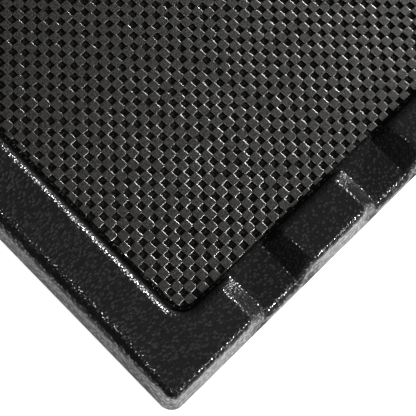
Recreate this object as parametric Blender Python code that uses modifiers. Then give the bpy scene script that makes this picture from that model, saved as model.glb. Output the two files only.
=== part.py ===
"""Door mat: a moulded tray with a raised rim, a loose rubber scraper sheet and six grip pads.

Metres, +Z up, X along the notched sides. The origin is on the floor, under the middle of the mat.
"""
import math

import bmesh
import bpy
from mathutils import Matrix, Vector

# ---------------------------------------------------------------- sizes
MAT_LENGTH = 0.7146
MAT_WIDTH = 0.4526
MAT_HEIGHT = 0.020
OUTER_CORNER_RADIUS = 0.008
OUTER_DRAFT = 0.0039  # how far the outer wall leans in between its foot and its top

END_RIM_WIDTH = 0.0378  # plain rim at the two short ends
SIDE_RIM_WIDTH = 0.0313  # notched rim along the two long sides
RECESS_CORNER_RADIUS = 0.011
RECESS_DRAFT = 0.0010
RECESS_FLOOR = 0.009

NOTCH_PITCH = 0.090
NOTCH_MOUTH = 0.0465  # opening between two blocks, at the height of the rim
NOTCH_SLOPE_RUN = 0.0108  # length of the ramp at each end of a notch
NOTCH_FLOOR = 0.009
MIN_CORNER_BLOCK = 0.050  # shortest block left between a corner and its nearest notch

RIM_ROUNDING = 0.0035
CORNER_STEPS = 4

SHEET_THICKNESS = 0.0043
SHEET_CORNER_RADIUS = 0.008
SHEET_MARGIN = 0.0025  # bare strip of floor between the sheet and the wall of the recess
SHEET_SIDE_CLEARANCE = 0.0008
SHEET_SEAT_DEPTH = 0.0005  # shallow seat that keeps the sheet from sliding out through the notches
SEAT_CLEARANCE = 0.0003

PAD_RADIUS = 0.017
PAD_STAND = 0.0010  # how far a pad stands below the tray
PAD_SOCKET_DEPTH = 0.0020
PAD_ROWS = 2
PAD_COLUMNS = 3
PAD_INSET = 0.050
PAD_EDGE_CHAMFER = 0.0006
PAD_SIDES = 32

CUT_MARGIN = 0.004  # how far a cutter reaches past what it cuts


# ---------------------------------------------------------------- helpers
def new_collection(name, helper=False):
    collection = bpy.data.collections.new(name)
    bpy.context.scene.collection.children.link(collection)
    collection.hide_render = helper
    return collection


def new_material(name, color, roughness, metallic=0.0):
    material = bpy.data.materials.new(name)
    material.use_nodes = True
    shader = material.node_tree.nodes["Principled BSDF"]
    shader.inputs["Base Color"].default_value = (*color, 1.0)
    shader.inputs["Roughness"].default_value = roughness
    shader.inputs["Metallic"].default_value = metallic
    return material


def add_object(name, bm, collection, material=None):
    mesh = bpy.data.meshes.new(name)
    bm.normal_update()
    bm.to_mesh(mesh)
    bm.free()
    obj = bpy.data.objects.new(name, mesh)
    collection.objects.link(obj)
    if material:
        mesh.materials.append(material)
    if collection.hide_render:
        obj.hide_render = True
        obj.display_type = "WIRE"
    return obj


def rounded_slab(length, width, bottom, top, radius, inset_at_top=0.0):
    """A box with rounded upright corners whose sides lean in (or out) by inset_at_top."""
    bm = bmesh.new()
    bmesh.ops.create_cube(bm, size=1.0)
    bmesh.ops.scale(bm, vec=Vector((length, width, top - bottom)), verts=bm.verts)
    bmesh.ops.translate(bm, vec=Vector((0, 0, (top + bottom) / 2)), verts=bm.verts)
    for vert in bm.verts:
        if vert.co.z > (top + bottom) / 2:
            vert.co.x -= math.copysign(inset_at_top, vert.co.x)
            vert.co.y -= math.copysign(inset_at_top, vert.co.y)
    uprights = [
        edge for edge in bm.edges
        if abs(edge.verts[0].co.z - edge.verts[1].co.z) > (top - bottom) / 2
    ]
    bmesh.ops.bevel(
        bm, geom=uprights, offset=radius, offset_type="OFFSET",
        segments=CORNER_STEPS, profile=0.5, affect="EDGES", clamp_overlap=True,
    )
    return bm


def notch_wedge(mouth, floor_length, floor, top, reach):
    """A block with sloping ends: floor_length long at the floor and mouth long at the top."""
    bm = bmesh.new()
    bmesh.ops.create_cube(bm, size=1.0)
    slope = (mouth - floor_length) / 2 / (top - floor)
    upper = top + CUT_MARGIN
    for vert in bm.verts:
        z = upper if vert.co.z > 0 else floor
        half = floor_length / 2 + slope * (z - floor)
        vert.co = Vector((math.copysign(half, vert.co.x), math.copysign(reach / 2, vert.co.y), z))
    return bm


def cut(target, cutter, name):
    boolean = target.modifiers.new(name, "BOOLEAN")
    boolean.operation = "DIFFERENCE"
    boolean.solver = "MANIFOLD"
    boolean.object = cutter


# ---------------------------------------------------------------- scene
for old in list(bpy.data.objects):
    bpy.data.objects.remove(old, do_unlink=True)

mat_parts = new_collection("door_mat")
cutters = new_collection("cutters", helper=True)

tray_plastic = new_material("tray_plastic", (0.018, 0.018, 0.019), 0.42)
sheet_rubber = new_material("sheet_rubber", (0.022, 0.022, 0.022), 0.62)
pad_rubber = new_material("pad_rubber", (0.030, 0.030, 0.030), 0.80)

root = bpy.data.objects.new("door_mat_root", None)
mat_parts.objects.link(root)

# ---------------------------------------------------------------- tray
# The blank runs on below the tray, so that the rounding of its lowest edge is trimmed off with it.
blank_extra = RIM_ROUNDING + CUT_MARGIN
wall_height = MAT_HEIGHT - PAD_STAND
blank_flare = OUTER_DRAFT * blank_extra / wall_height
tray = add_object(
    "tray",
    rounded_slab(
        MAT_LENGTH + 2 * blank_flare, MAT_WIDTH + 2 * blank_flare,
        PAD_STAND - blank_extra, MAT_HEIGHT, OUTER_CORNER_RADIUS,
        OUTER_DRAFT + blank_flare,
    ),
    mat_parts, tray_plastic,
)
tray.parent = root

recess_length = MAT_LENGTH - 2 * END_RIM_WIDTH
recess_width = MAT_WIDTH - 2 * SIDE_RIM_WIDTH
recess_top = MAT_HEIGHT + CUT_MARGIN
recess_flare = RECESS_DRAFT * (recess_top - RECESS_FLOOR) / (MAT_HEIGHT - RECESS_FLOOR)
recess = add_object(
    "recess_cutter",
    rounded_slab(
        recess_length - 2 * RECESS_DRAFT, recess_width - 2 * RECESS_DRAFT,
        RECESS_FLOOR, recess_top, RECESS_CORNER_RADIUS, -recess_flare,
    ),
    cutters,
)
cut(tray, recess, "recess")

# As many notches as fit at the stated pitch, centred on each long side.
notch_count = int(
    (MAT_LENGTH - 2 * MIN_CORNER_BLOCK + NOTCH_PITCH - NOTCH_MOUTH) / NOTCH_PITCH
)
notch_reach = SIDE_RIM_WIDTH + 2 * CUT_MARGIN
notch_floor_length = NOTCH_MOUTH - 2 * NOTCH_SLOPE_RUN
for side in (-1, 1):
    for index in range(notch_count):
        notch = add_object(
            f"notch_cutter_{'front' if side < 0 else 'back'}_{index + 1}",
            notch_wedge(NOTCH_MOUTH, notch_floor_length, NOTCH_FLOOR, MAT_HEIGHT, notch_reach),
            cutters,
        )
        notch.location = (
            (index - (notch_count - 1) / 2) * NOTCH_PITCH,
            side * (MAT_WIDTH / 2 - SIDE_RIM_WIDTH / 2),
            0,
        )
        cut(tray, notch, notch.name)

clean = tray.modifiers.new("join_flats", "DECIMATE")
clean.decimate_type = "DISSOLVE"
clean.angle_limit = math.radians(0.5)

rounding = tray.modifiers.new("rim_rounding", "BEVEL")
rounding.width = RIM_ROUNDING
rounding.segments = 2
rounding.limit_method = "ANGLE"
rounding.angle_limit = math.radians(30)
rounding.use_clamp_overlap = True

trim = add_object(
    "underside_trim",
    rounded_slab(
        MAT_LENGTH + 4 * CUT_MARGIN, MAT_WIDTH + 4 * CUT_MARGIN,
        PAD_STAND - blank_extra - CUT_MARGIN, PAD_STAND, OUTER_CORNER_RADIUS,
    ),
    cutters,
)
cut(tray, trim, "underside_trim")

# ---------------------------------------------------------------- scraper sheet in its seat
sheet_length = recess_length - 2 * RECESS_DRAFT - 2 * SHEET_MARGIN
sheet_width = recess_width - 2 * RECESS_DRAFT - 2 * SHEET_MARGIN
seat_floor = RECESS_FLOOR - SHEET_SEAT_DEPTH
seat = add_object(
    "seat_cutter",
    rounded_slab(
        sheet_length + 2 * SHEET_SIDE_CLEARANCE, sheet_width + 2 * SHEET_SIDE_CLEARANCE,
        seat_floor, MAT_HEIGHT + CUT_MARGIN, SHEET_CORNER_RADIUS + SHEET_SIDE_CLEARANCE,
    ),
    cutters,
)
cut(tray, seat, "sheet_seat")

sheet = add_object(
    "scraper_sheet",
    rounded_slab(sheet_length, sheet_width, 0, SHEET_THICKNESS, SHEET_CORNER_RADIUS),
    mat_parts, sheet_rubber,
)
sheet.location = (0, 0, seat_floor + SEAT_CLEARANCE)
sheet.parent = root

# ---------------------------------------------------------------- grip pads in their sockets
pad_height = PAD_STAND + PAD_SOCKET_DEPTH - SEAT_CLEARANCE
pad_columns = [
    (column / (PAD_COLUMNS - 1) - 0.5) * (MAT_LENGTH - 2 * PAD_INSET)
    for column in range(PAD_COLUMNS)
]
pad_rows = [
    (row / (PAD_ROWS - 1) - 0.5) * (MAT_WIDTH - 2 * PAD_INSET)
    for row in range(PAD_ROWS)
]
socket_height = PAD_SOCKET_DEPTH + CUT_MARGIN
for row, y in enumerate(pad_rows):
    for column, x in enumerate(pad_columns):
        number = row * PAD_COLUMNS + column + 1

        bm = bmesh.new()
        bmesh.ops.create_cone(
            bm, cap_ends=True, segments=PAD_SIDES, depth=socket_height,
            radius1=PAD_RADIUS + SEAT_CLEARANCE, radius2=PAD_RADIUS + SEAT_CLEARANCE,
            matrix=Matrix.Translation((0, 0, PAD_STAND + PAD_SOCKET_DEPTH - socket_height / 2)),
        )
        socket = add_object(f"socket_cutter_{number}", bm, cutters)
        socket.location = (x, y, 0)
        cut(tray, socket, socket.name)

        bm = bmesh.new()
        bmesh.ops.create_cone(
            bm, cap_ends=True, segments=PAD_SIDES, depth=pad_height,
            radius1=PAD_RADIUS, radius2=PAD_RADIUS,
            matrix=Matrix.Translation((0, 0, pad_height / 2)),
        )
        foot_edges = [edge for edge in bm.edges if max(v.co.z for v in edge.verts) < 1e-6]
        bmesh.ops.bevel(
            bm, geom=foot_edges, offset=PAD_EDGE_CHAMFER, offset_type="OFFSET",
            segments=1, profile=0.5, affect="EDGES", clamp_overlap=True,
        )
        pad = add_object(f"grip_pad_{number}", bm, mat_parts, pad_rubber)
        pad.location = (x, y, 0)
        pad.parent = root
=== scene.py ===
import math
import random

import bmesh
import bpy
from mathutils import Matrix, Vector


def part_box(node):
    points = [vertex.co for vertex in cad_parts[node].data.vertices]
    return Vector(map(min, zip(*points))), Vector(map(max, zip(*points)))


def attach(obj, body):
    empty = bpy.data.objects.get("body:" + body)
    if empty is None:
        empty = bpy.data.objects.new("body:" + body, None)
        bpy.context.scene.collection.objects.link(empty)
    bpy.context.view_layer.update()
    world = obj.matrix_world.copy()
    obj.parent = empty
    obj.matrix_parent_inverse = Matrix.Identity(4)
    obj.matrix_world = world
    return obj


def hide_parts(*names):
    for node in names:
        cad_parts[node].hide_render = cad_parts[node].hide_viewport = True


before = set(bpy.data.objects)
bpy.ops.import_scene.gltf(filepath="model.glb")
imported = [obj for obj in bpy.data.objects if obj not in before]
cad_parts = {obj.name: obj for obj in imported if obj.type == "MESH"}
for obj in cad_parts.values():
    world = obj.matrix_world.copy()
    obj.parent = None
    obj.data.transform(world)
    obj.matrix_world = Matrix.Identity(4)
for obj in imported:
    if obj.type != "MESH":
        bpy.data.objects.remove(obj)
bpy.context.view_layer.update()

mm = 0.001
scene = bpy.context.scene
scene.view_settings.view_transform = "Standard"
scene.view_settings.look = "None"
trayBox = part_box("tray")
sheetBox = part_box("scraper_sheet")
padNodes = sorted(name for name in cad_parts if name.startswith("grip_pad"))
print("door mat: frame loaded")


def meshObject(name, verts, faces, material=None):
    mesh = bpy.data.meshes.new(name)
    mesh.from_pydata([tuple(v) for v in verts], [], faces)
    mesh.validate()
    mesh.update()
    obj = bpy.data.objects.new(name, mesh)
    scene.collection.objects.link(obj)
    if material:
        mesh.materials.append(material)
    return obj


def smoothShade(obj, degrees):
    mesh = obj.data
    mesh.polygons.foreach_set("use_smooth", [True] * len(mesh.polygons))
    mesh.set_sharp_from_angle(angle=math.radians(degrees))


def booleanWith(obj, other, operation):
    step = obj.modifiers.new(operation.lower(), "BOOLEAN")
    step.operation = operation
    step.solver = "MANIFOLD"
    step.object = other
    graph = bpy.context.evaluated_depsgraph_get()
    done = bpy.data.meshes.new_from_object(obj.evaluated_get(graph))
    obj.modifiers.clear()
    old = obj.data
    obj.data = done
    done.name = obj.name
    bpy.data.meshes.remove(old)
    bpy.data.objects.remove(other)


# a closed turned shape; its first and last points lie on the axis
def lathe(points, sides):
    verts = [(0, 0, points[0][1])]
    for radius, z in points[1:-1]:
        for i in range(sides):
            angle = 2 * math.pi * i / sides
            verts.append((radius * math.cos(angle), radius * math.sin(angle), z))
    verts.append((0, 0, points[-1][1]))
    faces = []
    rows = len(points) - 2
    for i in range(sides):
        j = (i + 1) % sides
        faces.append((0, 1 + j, 1 + i))
        for row in range(rows - 1):
            a = 1 + row * sides
            faces.append((a + i, a + j, a + sides + j, a + sides + i))
        last = 1 + (rows - 1) * sides
        faces.append((last + i, last + j, len(verts) - 1))
    return verts, faces


def newMaterial(name):
    material = bpy.data.materials.new(name)
    material.use_nodes = True
    tree = material.node_tree
    return material, tree, tree.nodes["Principled BSDF"]


def addNode(tree, kind, **settings):
    node = tree.nodes.new(kind)
    for key, value in settings.items():
        if key in node.inputs:
            node.inputs[key].default_value = value
        else:
            setattr(node, key, value)
    return node


# map range node between two pairs of values, fed from a socket
def addRange(tree, source, fromPair, toPair, kind="LINEAR"):
    node = addNode(tree, "ShaderNodeMapRange", interpolation_type=kind)
    node.inputs["From Min"].default_value, node.inputs["From Max"].default_value = fromPair
    node.inputs["To Min"].default_value, node.inputs["To Max"].default_value = toPair
    tree.links.new(source, node.inputs["Value"])
    return node.outputs["Result"]


# black satin plastic with a moulded-in grain of small round cells
trayFinish = {
    "color": (0.0032, 0.0032, 0.0034), "paler": (0.0060, 0.0060, 0.0062),
    "specular": (0.08, 0.70), "roughness": (0.22, 0.12),    # in the valleys, on the tops of the grain
    "topShare": (0.42, 0.26), "cellReach": 0.75,            # of a cell, out from its middle
    "cell": 2.0, "cellHeight": 0.36, "warp": 0.15, "fine": 0.45, "fineHeight": 0.030,    # mm
    "cellSpread": (0.75, 1.25), "patchRange": (0.35, 0.65),
    "patchScale": 28.0, "warpScale": 420.0,                 # per metre
}


def makeTrayPlastic(finish):
    material, tree, shader = newMaterial("trayPlastic")
    coord = addNode(tree, "ShaderNodeTexCoord").outputs["Object"]
    wide = addNode(tree, "ShaderNodeTexNoise", Scale=finish["patchScale"], Detail=4.0, Roughness=0.65)
    warp = addNode(tree, "ShaderNodeTexNoise", Scale=finish["warpScale"], Detail=2.0)
    fine = addNode(tree, "ShaderNodeTexNoise", Scale=1000 / finish["fine"], Detail=1.0, Roughness=0.5)
    for noise in (wide, warp, fine):
        tree.links.new(coord, noise.inputs["Vector"])
    bent = addNode(tree, "ShaderNodeVectorMath", operation="MULTIPLY_ADD")
    bent.inputs[1].default_value = [finish["warp"] * mm] * 3
    tree.links.new(warp.outputs["Color"], bent.inputs[0])
    tree.links.new(coord, bent.inputs[2])
    cell = addNode(tree, "ShaderNodeTexVoronoi", feature="F1", Scale=1000 / finish["cell"])
    tree.links.new(bent.outputs[0], cell.inputs["Vector"])
    # the square of the distance makes every cell a round dome
    dome = addNode(tree, "ShaderNodeMath", operation="MULTIPLY")
    reach = addRange(tree, cell.outputs["Distance"], (0.0, finish["cellReach"]), (0.0, finish["cellReach"]))
    tree.links.new(reach, dome.inputs[0])
    tree.links.new(reach, dome.inputs[1])
    height = addNode(tree, "ShaderNodeMath", operation="MULTIPLY")
    tree.links.new(dome.outputs[0], height.inputs[0])
    spread = addRange(tree, wide.outputs["Fac"], finish["patchRange"], finish["cellSpread"])
    tree.links.new(spread, height.inputs[1])
    bumpCell = addNode(tree, "ShaderNodeBump", Strength=1.0, Distance=finish["cellHeight"] * mm, invert=True)
    tree.links.new(height.outputs[0], bumpCell.inputs["Height"])
    bumpFine = addNode(tree, "ShaderNodeBump", Strength=1.0, Distance=finish["fineHeight"] * mm)
    tree.links.new(fine.outputs["Fac"], bumpFine.inputs["Height"])
    tree.links.new(bumpCell.outputs["Normal"], bumpFine.inputs["Normal"])
    tree.links.new(bumpFine.outputs["Normal"], shader.inputs["Normal"])
    tint = addNode(tree, "ShaderNodeMix", data_type="RGBA")
    tint.inputs["A"].default_value = (*finish["color"], 1)
    tint.inputs["B"].default_value = (*finish["paler"], 1)
    tree.links.new(wide.outputs["Fac"], tint.inputs["Factor"])
    tree.links.new(tint.outputs["Result"], shader.inputs["Base Color"])
    onTop = addRange(tree, cell.outputs["Distance"], finish["topShare"], (0.0, 1.0), "SMOOTHSTEP")
    tree.links.new(addRange(tree, onTop, (0.0, 1.0), finish["roughness"]), shader.inputs["Roughness"])
    tree.links.new(addRange(tree, onTop, (0.0, 1.0), finish["specular"]), shader.inputs["Specular IOR Level"])
    return material


# dry rubber, mottled grey on the raised squares, rubbed smooth along their edges; painted shade in the
# pockets
treadFinish = {
    # the pit colour is painted shade: the pockets are coloured darker than the faces
    "pitPaintedShade": (0.0060, 0.0055, 0.0046), "face": (0.0080, 0.0076, 0.0069),
    "contrast": (0.05, 2.1), "contrastOver": (0.40, 0.60),
    "faceRoughness": 0.50, "edgeRoughness": 0.28, "edgeGrit": (0.12, 1.0),
    "pitSpecular": 0.04, "edgeSpecular": 0.50, "faceSpecular": 0.17,
    "mottle": 1.2, "mottleHeight": 0.26,    # mm
    "fine": 0.50, "fineHeight": 0.08,
}


def makeTreadRubber(finish, pitLevel, lipLevel, shoulderLevel, faceLevel):
    material, tree, shader = newMaterial("treadRubber")
    coord = addNode(tree, "ShaderNodeTexCoord").outputs["Object"]
    mottle = addNode(tree, "ShaderNodeTexNoise", Scale=1000 / finish["mottle"], Detail=4.0, Roughness=0.62)
    fine = addNode(tree, "ShaderNodeTexNoise", Scale=1000 / finish["fine"], Detail=2.0)
    for noise in (mottle, fine):
        tree.links.new(coord, noise.inputs["Vector"])
    split = addNode(tree, "ShaderNodeSeparateXYZ")
    tree.links.new(coord, split.inputs["Vector"])
    height = split.outputs["Z"]
    onFace = addRange(tree, height, (shoulderLevel, faceLevel), (0.0, 1.0))
    grit = addRange(tree, onFace, (0.0, 1.0), finish["edgeGrit"])
    bump = addNode(tree, "ShaderNodeBump", Distance=finish["mottleHeight"] * mm)
    tree.links.new(grit, bump.inputs["Strength"])
    tree.links.new(mottle.outputs["Fac"], bump.inputs["Height"])
    bumpFine = addNode(tree, "ShaderNodeBump", Distance=finish["fineHeight"] * mm)
    tree.links.new(grit, bumpFine.inputs["Strength"])
    tree.links.new(fine.outputs["Fac"], bumpFine.inputs["Height"])
    tree.links.new(bump.outputs["Normal"], bumpFine.inputs["Normal"])
    tree.links.new(bumpFine.outputs["Normal"], shader.inputs["Normal"])
    # painted shade: the colour blends from the darker pit colour at the pocket floor to the face colour at
    # the lip
    tint = addNode(tree, "ShaderNodeMix", data_type="RGBA")
    tint.inputs["A"].default_value = (*finish["pitPaintedShade"], 1)
    tint.inputs["B"].default_value = (*finish["face"], 1)
    outOfPitShade = addRange(tree, height, (pitLevel, lipLevel), (0.0, 1.0), "SMOOTHSTEP")
    tree.links.new(outOfPitShade, tint.inputs["Factor"])
    shade = addNode(tree, "ShaderNodeMix", data_type="RGBA", blend_type="MULTIPLY")
    shade.inputs["Factor"].default_value = 1.0
    tree.links.new(tint.outputs["Result"], shade.inputs["A"])
    patches = addRange(tree, mottle.outputs["Fac"], finish["contrastOver"], finish["contrast"])
    tree.links.new(patches, shade.inputs["B"])
    tree.links.new(shade.outputs["Result"], shader.inputs["Base Color"])
    dullness = addRange(tree, onFace, (0.0, 1.0), (finish["edgeRoughness"], finish["faceRoughness"]))
    tree.links.new(dullness, shader.inputs["Roughness"])
    lowShine = addRange(tree, height, (pitLevel, lipLevel), (finish["pitSpecular"], finish["edgeSpecular"]))
    shine = addNode(tree, "ShaderNodeMix", data_type="FLOAT")
    shine.inputs["B"].default_value = finish["faceSpecular"]
    tree.links.new(onFace, shine.inputs["Factor"])
    tree.links.new(lowShine, shine.inputs["A"])
    tree.links.new(shine.outputs["Result"], shader.inputs["Specular IOR Level"])
    return material


# dull rubber with a little dust
padFinish = {
    "color": (0.020, 0.020, 0.020), "dust": (0.050, 0.049, 0.046), "roughness": 0.8,
    "grainHeight": 0.05, "grainStrength": 0.8,    # the height in mm
    "grainScale": 1600.0, "patchScale": 160.0,    # per metre
}


def makePadRubber(finish):
    material, tree, shader = newMaterial("padRubber")
    coord = addNode(tree, "ShaderNodeTexCoord").outputs["Object"]
    grain = addNode(tree, "ShaderNodeTexNoise", Scale=finish["grainScale"], Detail=4.0, Roughness=0.6)
    patches = addNode(tree, "ShaderNodeTexNoise", Scale=finish["patchScale"], Detail=5.0, Roughness=0.7)
    for noise in (grain, patches):
        tree.links.new(coord, noise.inputs["Vector"])
    bump = addNode(tree, "ShaderNodeBump")
    bump.inputs["Strength"].default_value = finish["grainStrength"]
    bump.inputs["Distance"].default_value = finish["grainHeight"] * mm
    tree.links.new(grain.outputs["Fac"], bump.inputs["Height"])
    tree.links.new(bump.outputs["Normal"], shader.inputs["Normal"])
    tint = addNode(tree, "ShaderNodeMix", data_type="RGBA")
    tint.inputs["A"].default_value = (*finish["color"], 1)
    tint.inputs["B"].default_value = (*finish["dust"], 1)
    tree.links.new(patches.outputs["Fac"], tint.inputs["Factor"])
    tree.links.new(tint.outputs["Result"], shader.inputs["Base Color"])
    shader.inputs["Roughness"].default_value = finish["roughness"]
    return material


# tray: one profile of the rim carried round the mat, dipping at every notch; all in mm
tray = {
    "endRim": 37.8, "sideRim": 31.3,          # from the foot of the wall to the recess
    "outerCorner": 8.0, "recessCorner": 11.0,
    "outerLean": 3.9, "recessLean": 1.0,
    "floor": 9.0, "seat": 8.5, "foot": 1.0,
    "notchCount": 7, "notchPitch": 90.0, "notchMouth": 46.5, "rampRun": 10.8,
    "crestRadius": 4.5, "rampFootRadius": 1.5,
    "endOuterRadius": 8.0, "sideOuterRadius": 4.0, "notchOuterRadius": 6.0,
    "endInnerRadius": 8.0, "sideInnerRadius": 5.0, "innerFoot": 1.5,
    "blockRound": 6.0,                        # rounding of the outer ends of the blocks, seen from above
    "creaseAngle": 40,
}
# where the rim profile is drawn; distances in mm, the first ones from the middle of a notch
trayGrid = {
    "flatStations": (0, 4, 7, 33, 36, 40), "rampStart": 8, "rampStep": 0.75, "rampSteps": 30,
    "besideCorner": 12, "closest": 0.3,
    "cornerSteps": 12, "cornerShares": (0.33, 0.66), "endSteps": 60,
    "arcSteps": 8, "footSteps": 4, "wallShares": (0.08, 0.55),
    "landing": 0.5, "footEdge": 0.2, "seatEdge": 0.1, "wallEnd": (0.8, 0.02),
}
halfX, halfY = [(trayBox[1][i] - trayBox[0][i]) / 2 / mm for i in (0, 1)]
topZ = trayBox[1][2] / mm


# height of the rim at u mm from the middle of a notch
def rampHeight(u, size):
    floor = size["floor"]
    uTop = size["notchMouth"] / 2
    uFloor = uTop - size["rampRun"]
    alpha = math.atan2(topZ - floor, size["rampRun"])
    crest, foot = size["crestRadius"], size["rampFootRadius"]
    crestReach, footReach = crest * math.tan(alpha / 2), foot * math.tan(alpha / 2)
    if u >= uTop + crestReach:
        return topZ
    if u > uTop - crestReach * math.cos(alpha):
        return topZ - crest + math.sqrt(max(crest ** 2 - (u - uTop - crestReach) ** 2, 0))
    if u > uFloor + footReach * math.cos(alpha):
        return floor + (u - uFloor) * math.tan(alpha)
    if u > uFloor - footReach:
        return floor + foot - math.sqrt(max(foot ** 2 - (u - uFloor + footReach) ** 2, 0))
    return floor


def notchCentres(size):
    return [(i - (size["notchCount"] - 1) / 2) * size["notchPitch"] for i in range(size["notchCount"])]


# stations along a long side, close together on the ramps
def sideStations(size, grid, innerHalf):
    beside = innerHalf - grid["besideCorner"]
    xs = [-innerHalf, innerHalf, -beside, beside]
    onRamp = [grid["rampStart"] + grid["rampStep"] * k for k in range(grid["rampSteps"])]
    for c in notchCentres(size):
        for u in [*grid["flatStations"], *onRamp]:
            xs += [c - u, c + u]
        xs.append(c + size["notchPitch"] / 2)
    xs = sorted({round(x, 3) for x in xs if abs(x) <= innerHalf})
    keep = [xs[0]]
    for x in xs[1:]:
        if x - keep[-1] > grid["closest"]:
            keep.append(x)
    keep[-1] = innerHalf
    return keep


# stations round one corner: the outer path is straight, arc, straight and the inner one an arc
def cornerStations(size, grid, signX, signY, fromSide):
    innerX, innerY = halfX - size["endRim"], halfY - size["sideRim"]
    ro, ri = size["outerCorner"], size["recessCorner"]
    straightX, straightY = (halfX - ro) - (innerX - ri), (halfY - ro) - (innerY - ri)
    arc = math.pi / 2 * ro
    total = straightX + arc + straightY
    steps = {0.0, straightX + arc + straightY / 2, total}
    steps |= {straightX * share for share in grid["cornerShares"]}
    steps |= {straightX + arc * k / grid["cornerSteps"] for k in range(grid["cornerSteps"] + 1)}
    found = []
    for s in sorted(steps):
        if s <= straightX:
            outer, inward = (innerX - ri + s, -halfY), (0.0, 1.0)
        elif s <= straightX + arc:
            a = (s - straightX) / ro
            outer = (halfX - ro + ro * math.sin(a), -(halfY - ro) - ro * math.cos(a))
            inward = (-math.sin(a), math.cos(a))
        else:
            outer, inward = (halfX, -(halfY - ro) + (s - straightX - arc)), (-1.0, 0.0)
        b = math.pi / 2 * s / total
        inner = (innerX - ri + ri * math.sin(b), -(innerY - ri) - ri * math.cos(b))
        outward = (math.sin(b), -math.cos(b))
        pairs = [(signX * p[0], signY * p[1]) for p in (outer, inward, inner, outward)]
        # the wider outer rounding of the ends starts past the corner
        past = max(0.0, (s - straightX - arc) / straightY)
        found.append({"pairs": pairs, "u": None, "end": s / total, "outerEnd": past})
    return found if fromSide else found[::-1]


def ringStations(size, grid):
    innerX, innerY = halfX - size["endRim"], halfY - size["sideRim"]
    xs = sideStations(size, grid, innerX - size["recessCorner"])
    reach = innerY - size["recessCorner"]
    ys = [-reach + 2 * reach * k / grid["endSteps"] for k in range(grid["endSteps"] + 1)]

    def onSide(x, sign):
        u = min(abs(x - c) for c in notchCentres(size))
        pairs = [(x, -sign * halfY), (0, sign), (x, -sign * innerY), (0, -sign)]
        return {"pairs": pairs, "u": u, "end": 0.0, "outerEnd": 0.0}

    def onEnd(y, sign):
        pairs = [(sign * halfX, y), (-sign, 0), (sign * innerX, y), (sign, 0)]
        return {"pairs": pairs, "u": None, "end": 1.0, "outerEnd": 1.0}

    ring = [onSide(x, 1) for x in xs[:-1]] + cornerStations(size, grid, 1, 1, True)[:-1]
    ring += [onEnd(y, 1) for y in ys[:-1]] + cornerStations(size, grid, 1, -1, False)[:-1]
    ring += [onSide(x, -1) for x in xs[:0:-1]] + cornerStations(size, grid, -1, -1, True)[:-1]
    ring += [onEnd(y, -1) for y in ys[:0:-1]] + cornerStations(size, grid, -1, 1, False)[:-1]
    return ring


# one column of points from the foot of the outer wall, over the rim, down to the seat
def rimColumn(size, grid, station):
    outer, inward, inner, outward = station["pairs"]
    u, end = station["u"], station["end"]
    height = topZ if u is None else rampHeight(u, size)
    rise = topZ - size["floor"]
    lift = (height - size["floor"]) / rise    # 1 on a block, 0 on the floor of a notch
    outerEnd = station["outerEnd"]
    radius = size["sideOuterRadius"] * (1 - outerEnd) + size["endOuterRadius"] * outerEnd
    radius = size["notchOuterRadius"] * (1 - lift) + radius * lift
    lean = size["outerLean"] / (topZ - size["foot"])
    wallTop = height - radius
    base = lean * (wallTop - size["foot"])
    arc = []
    for k in range(grid["arcSteps"] + 1):
        a = math.pi / 2 * k / grid["arcSteps"]
        d = radius * (1 - math.cos(a))
        local = height
        if u is not None and d < size["blockRound"]:
            back = size["blockRound"] - math.sqrt(size["blockRound"] ** 2 - (size["blockRound"] - d) ** 2)
            local = rampHeight(u - back, size)
        arc.append((base + d, local - radius * (1 - math.sin(a))))
    low = arc[0][1] - size["foot"]
    points = [(0.0, size["foot"])]
    points += [(base * share, size["foot"] + low * share) for share in grid["wallShares"]]
    points += arc + [(base + radius + grid["landing"], height)]
    column = [(outer[0] + inward[0] * d, outer[1] + inward[1] * d, z) for d, z in points]
    rounding = size["sideInnerRadius"] * (1 - end) + size["endInnerRadius"] * end
    inside = [(rounding + grid["landing"], 1.0)]
    for k in range(grid["arcSteps"] + 1):
        a = math.pi / 2 * k / grid["arcSteps"]
        inside.append((rounding * (1 - math.sin(a)), 1 - rounding / rise * (1 - math.cos(a))))
    foot = size["innerFoot"]
    leanShare, aboveFoot = grid["wallEnd"]
    inside.append((-size["recessLean"] * leanShare, foot / rise + aboveFoot))
    for k in range(1, grid["footSteps"] + 1):
        a = math.pi / 2 * k / grid["footSteps"]
        inside.append((-size["recessLean"] - foot * (1 - math.cos(a)), foot * (1 - math.sin(a)) / rise))
    further = [(inner[0] + outward[0] * e, inner[1] + outward[1] * e, size["floor"] + rise * s * lift)
               for e, s in inside]
    a, b = Vector(column[-1]), Vector(further[0])
    column += [tuple(a.lerp(b, 1 / 3)), tuple(a.lerp(b, 2 / 3))] + further
    edge = -(size["recessLean"] + foot + grid["footEdge"])
    for e, z in ((edge, size["floor"]), (edge - grid["seatEdge"], size["seat"])):
        column.append((inner[0] + outward[0] * e, inner[1] + outward[1] * e, z))
    return column


def buildTray(size, grid):
    columns = [rimColumn(size, grid, station) for station in ringStations(size, grid)]
    count, rows = len(columns), len(columns[0])
    verts = [(x * mm, y * mm, z * mm) for column in columns for x, y, z in column]
    faces = []
    for s in range(count):
        a, b = s * rows, ((s + 1) % count) * rows
        for k in range(rows - 1):
            faces.append((a + k, b + k, b + k + 1, a + k + 1))
    faces.append([s * rows + rows - 1 for s in range(count)])
    faces.append([s * rows for s in range(count)][::-1])
    obj = meshObject("trayMoulding", verts, faces)
    bm = bmesh.new()
    bm.from_mesh(obj.data)
    bmesh.ops.recalc_face_normals(bm, faces=bm.faces)
    bm.to_mesh(obj.data)
    bm.free()
    return obj


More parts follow.
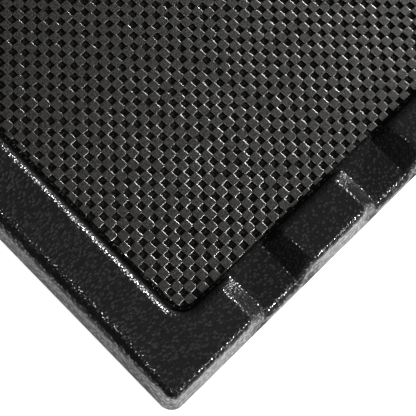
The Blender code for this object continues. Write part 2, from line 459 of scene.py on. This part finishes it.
trayMoulding = buildTray(tray, trayGrid)
socket = {"gap": 0.3 * mm, "top": 3.0 * mm, "sides": 64}    # round holes for the pads
for name in padNodes:
    low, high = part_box(name)
    radius = (high[0] - low[0]) / 2 + socket["gap"]
    profile = [(0, 0.0), (radius, 0.0), (radius, socket["top"]), (0, socket["top"])]
    verts, faces = lathe(profile, socket["sides"])
    cutter = meshObject("socket", verts, faces)
    cutter.location = ((low[0] + high[0]) / 2, (low[1] + high[1]) / 2, 0)
    bpy.context.view_layer.update()
    booleanWith(trayMoulding, cutter, "DIFFERENCE")
trayMoulding.data.materials.clear()
trayMoulding.data.materials.append(makeTrayPlastic(trayFinish))
smoothShade(trayMoulding, tray["creaseAngle"])
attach(trayMoulding, "tray")
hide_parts("tray")
print("tray:", len(trayMoulding.data.polygons), "faces")

# scraper sheet: rubber with a check of square pockets, moulded slightly out of true
tread = {
    "stepA": (4.707, 0.125), "stepB": (-0.139, 5.056),   # mm, from one cell to the next
    "firstCell": (-243.48, -132.10),                     # mm, the middle of one pocket
    "pocket": 0.490, "cornerCut": 0.085,                 # shares of a cell
    "lip": 0.435, "lipDrop": 0.17, "shoulder": 0.03,
    "pocketFloor": 0.420, "pocketDepth": 1.9,
    "wobble": 0.05, "seed": 7,
    "leastStep": 4, "margin": 9.0, "skirt": 2,           # the blank reaches past the sheet cut from it
    "sheetCorner": 8.0, "cornerSteps": 6, "cutAbove": 5, "creaseAngle": 40,
}


def buildTread(size):
    low, high = [[c / mm for c in corner] for corner in sheetBox]
    stepA, stepB, start = Vector(size["stepA"]), Vector(size["stepB"]), Vector(size["firstCell"])
    random.seed(size["seed"])
    span = int(max(high[0] - low[0], high[1] - low[1]) / size["leastStep"])
    margin = size["margin"]
    top = high[2]
    signs = ((1, 1), (-1, 1), (-1, -1), (1, -1))
    verts, faces, known = [], [], {}

    def place(a, b):
        return start + stepA * a + stepB * b

    def corner(a, b):
        key = (round(2 * a), round(2 * b))
        if key not in known:
            p = place(a, b)
            known[key] = len(verts)
            verts.append((p.x, p.y, top))
        return known[key]

    def ringAt(a, b, share, z):
        made = []
        for sa, sb in signs:
            q = place(a + sa * share, b + sb * share)
            made.append(len(verts))
            verts.append((q.x, q.y, z))
        return made

    def addPocket(a, b, square):
        p, cut = size["pocket"], size["cornerCut"]
        ring = []
        for sa, sb in signs:
            pair = [(sa * p, sb * (p - cut)), (sa * (p - cut), sb * p)]
            if sa * sb < 0:
                pair.reverse()
            for u, v in pair:
                q = place(a + u, b + v)
                ring.append(len(verts))
                verts.append((q.x + random.uniform(-1, 1) * size["wobble"],
                              q.y + random.uniform(-1, 1) * size["wobble"], top))
        lip = ringAt(a, b, size["lip"], top - size["lipDrop"])
        bottom = ringAt(a, b, size["pocketFloor"], top - size["pocketDepth"])
        for k in range(4):
            j = (k + 1) % 4
            faces.append((square[k], ring[2 * k + 1], ring[2 * k]))
            faces.append((square[k], square[j], ring[2 * j], ring[2 * k + 1]))
            faces.append((ring[2 * k], ring[2 * k + 1], lip[k]))
            faces.append((ring[2 * k + 1], ring[2 * j], lip[j], lip[k]))
            faces.append((lip[k], lip[j], bottom[j], bottom[k]))
        faces.append(bottom)

    for a in range(-span, span):
        for b in range(-span, span):
            c = place(a, b)
            if not low[0] - margin < c.x < high[0] + margin:
                continue
            if not low[1] - margin < c.y < high[1] + margin:
                continue
            square = [corner(a + sa / 2, b + sb / 2) for sa, sb in signs]
            if (a + b) % 2:
                faces.append(square)
            else:
                addPocket(a, b, square)
    obj = meshObject("scraperTread", [(x * mm, y * mm, z * mm) for x, y, z in verts], faces)
    # skirt and underside of the blank, later cut to the outline of the sheet
    bm = bmesh.new()
    bm.from_mesh(obj.data)
    bmesh.ops.delete(bm, geom=[v for v in bm.verts if not v.link_faces], context="VERTS")
    made = bmesh.ops.extrude_edge_only(bm, edges=[e for e in bm.edges if e.is_boundary])["geom"]
    for part in made:
        if isinstance(part, bmesh.types.BMVert):
            part.co.z = (low[2] - size["skirt"]) * mm
    bmesh.ops.edgenet_fill(bm, edges=[e for e in bm.edges if e.is_boundary])
    bmesh.ops.recalc_face_normals(bm, faces=bm.faces)
    bm.to_mesh(obj.data)
    bm.free()
    return obj


def roundedSlab(name, low, high, radius, steps):
    middle = [(low[i] + high[i]) / 2 for i in (0, 1)]
    reach = [(high[i] - low[i]) / 2 - radius for i in (0, 1)]
    loop = []
    for quarter, signs in enumerate(((1, 1), (-1, 1), (-1, -1), (1, -1))):
        for k in range(steps + 1):
            a = math.pi / 2 * (quarter + k / steps)
            loop.append((middle[0] + signs[0] * reach[0] + radius * math.cos(a),
                         middle[1] + signs[1] * reach[1] + radius * math.sin(a)))
    n = len(loop)
    verts = [(x, y, low[2]) for x, y in loop] + [(x, y, high[2]) for x, y in loop]
    faces = [(i, (i + 1) % n, n + (i + 1) % n, n + i) for i in range(n)]
    faces.append(list(range(n))[::-1])
    faces.append(list(range(n, 2 * n)))
    return meshObject(name, verts, faces)


scraperTread = buildTread(tread)
sheetTop = sheetBox[1][2]
above = (sheetBox[1][0], sheetBox[1][1], sheetTop + tread["cutAbove"] * mm)
outline = roundedSlab("outline", sheetBox[0], above, tread["sheetCorner"] * mm, tread["cornerSteps"])
bpy.context.view_layer.update()
booleanWith(scraperTread, outline, "INTERSECT")
scraperTread.data.materials.clear()
scraperTread.data.materials.append(makeTreadRubber(
    treadFinish, sheetTop - tread["pocketDepth"] * mm, sheetTop - tread["lipDrop"] * mm,
    sheetTop - tread["shoulder"] * mm, sheetTop))
smoothShade(scraperTread, tread["creaseAngle"])
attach(scraperTread, "scraper_sheet")
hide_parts("scraper_sheet")
scraperTread.data.calc_loop_triangles()
print("tread:", len(scraperTread.data.loop_triangles), "triangles")

# grip pads: turned discs with ring grooves underneath, in mm
pad = {
    "grooves": 4, "grooveDepth": 0.45, "grooveWidth": 1.5, "grooveSlope": 0.25, "grooveStart": 0.75,
    "plainRim": 2.5, "edge": 0.6, "edgeShare": 0.3, "backEdge": 0.2, "sides": 72, "creaseAngle": 35,
}
padRubber = makePadRubber(padFinish)
for name in padNodes:
    low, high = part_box(name)
    radius, height = (high[0] - low[0]) / 2 / mm, (high[2] - low[2]) / mm
    depth, slope, edge = pad["grooveDepth"], pad["grooveSlope"], pad["edge"]
    pitch = (radius - pad["plainRim"]) / pad["grooves"]
    profile = [(0, 0.0)]
    for k in range(pad["grooves"]):
        r = pitch * (k + pad["grooveStart"])
        wide = pad["grooveWidth"]
        profile += [(r, 0.0), (r + slope, depth), (r + wide - slope, depth), (r + wide, 0.0)]
    part = edge * pad["edgeShare"]
    profile += [(radius - edge, 0.0), (radius - part, part), (radius, edge),
                (radius, height - pad["backEdge"]), (radius - pad["backEdge"], height), (0, height)]
    verts, faces = lathe([(r * mm, z * mm) for r, z in profile], pad["sides"])
    middleX, middleY = (low[0] + high[0]) / 2, (low[1] + high[1]) / 2
    placed = [(x + middleX, y + middleY, z + low[2]) for x, y, z in verts]
    disc = meshObject("gripPad" + name[-1], placed, faces, padRubber)
    smoothShade(disc, pad["creaseAngle"])
    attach(disc, "tray")
    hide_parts(name)
print("pads:", len(padNodes))

# pale floor that glows a little, so that it stays white all round
studio = {
    "floorColor": 0.86, "floorGlow": 0.76, "floorRoughness": 0.9, "floorHalf": 6.0, "floorDrop": 0.4 * mm,
    "world": 0.10, "wallSides": 48, "wallHeight": 4.0,
}
floorMaterial, _, floorShader = newMaterial("paleFloor")
floorShader.inputs["Base Color"].default_value = (*[studio["floorColor"]] * 3, 1)
floorShader.inputs["Roughness"].default_value = studio["floorRoughness"]
floorShader.inputs["Emission Color"].default_value = (1, 1, 1, 1)
floorShader.inputs["Emission Strength"].default_value = studio["floorGlow"]
half = studio["floorHalf"]
corners = [(-half, -half, 0), (half, -half, 0), (half, half, 0), (-half, half, 0)]
floor = meshObject("floor", corners, [(0, 1, 2, 3)], floorMaterial)
floor.location.z = -studio["floorDrop"]

# pale wall all round the floor, behind the mat in a low view; it neither lights nor shades the mat
sides = studio["wallSides"]
verts = [(half * math.cos(2 * math.pi * i / sides), half * math.sin(2 * math.pi * i / sides), z)
         for z in (floor.location.z, studio["wallHeight"]) for i in range(sides)]
faces = [(i, (i + 1) % sides, sides + (i + 1) % sides, sides + i) for i in range(sides)]
wall = meshObject("wall", verts, faces, floorMaterial)
wall.visible_diffuse = wall.visible_glossy = wall.visible_shadow = wall.visible_transmission = False

world = bpy.data.worlds.new("studio")
scene.world = world
world.use_nodes = True
world.node_tree.nodes["Background"].inputs["Color"].default_value = (1, 1, 1, 1)
world.node_tree.nodes["Background"].inputs["Strength"].default_value = studio["world"]

lamps = {
    "sideLamp": {"place": (2.10, 0.36, 0.70), "aim": (-0.3, -0.15, 0), "size": (0.26, 0.26), "watts": 150},
    "frontLamp": {"place": (0.25, -1.45, 1.15), "aim": (-0.25, -0.2, 0), "size": (0.14, 0.14), "watts": 60},
    "topLamp": {"place": (-0.78, 0.24, 1.9), "aim": (-0.3, -0.15, 0), "size": (0.10, 0.10), "watts": 8},
    "frontBox": {"place": (0.3, -1.0, 0.45), "aim": (-0.1, -0.3, 0), "size": (0.8, 0.3), "watts": 8},
    "ceilingBox": {"place": (0.35, 0.0, 2.2), "aim": (0.35, 0.0, 0), "size": (2.4, 2.4), "watts": 5.5},
}
for name, look in lamps.items():
    light = bpy.data.lights.new(name, "AREA")
    light.shape = "RECTANGLE"
    light.size, light.size_y = look["size"]
    light.energy = look["watts"]
    lamp = bpy.data.objects.new(name, light)
    scene.collection.objects.link(lamp)
    lamp.location = look["place"]
    lamp.visible_glossy = name != "frontBox"    # the front box gives soft light and no streak of its own
    lamp.rotation_euler = (Vector(look["aim"]) - Vector(look["place"])).to_track_quat("-Z", "Y").to_euler()
print("floor and lamps done")

view = {
    "lens": 96.6, "sensor": 36.0,
    "place": (-0.4321, -0.2642, 0.5957), "turn": (18.212, -4.372, -44.957),    # degrees about X, Y and Z
}
cameraData = bpy.data.cameras.new("camera")
cameraData.lens = view["lens"]
cameraData.sensor_width = view["sensor"]
camera = bpy.data.objects.new("camera", cameraData)
scene.collection.objects.link(camera)
camera.rotation_euler = [math.radians(angle) for angle in view["turn"]]
camera.location = view["place"]
scene.camera = camera
print("camera set")
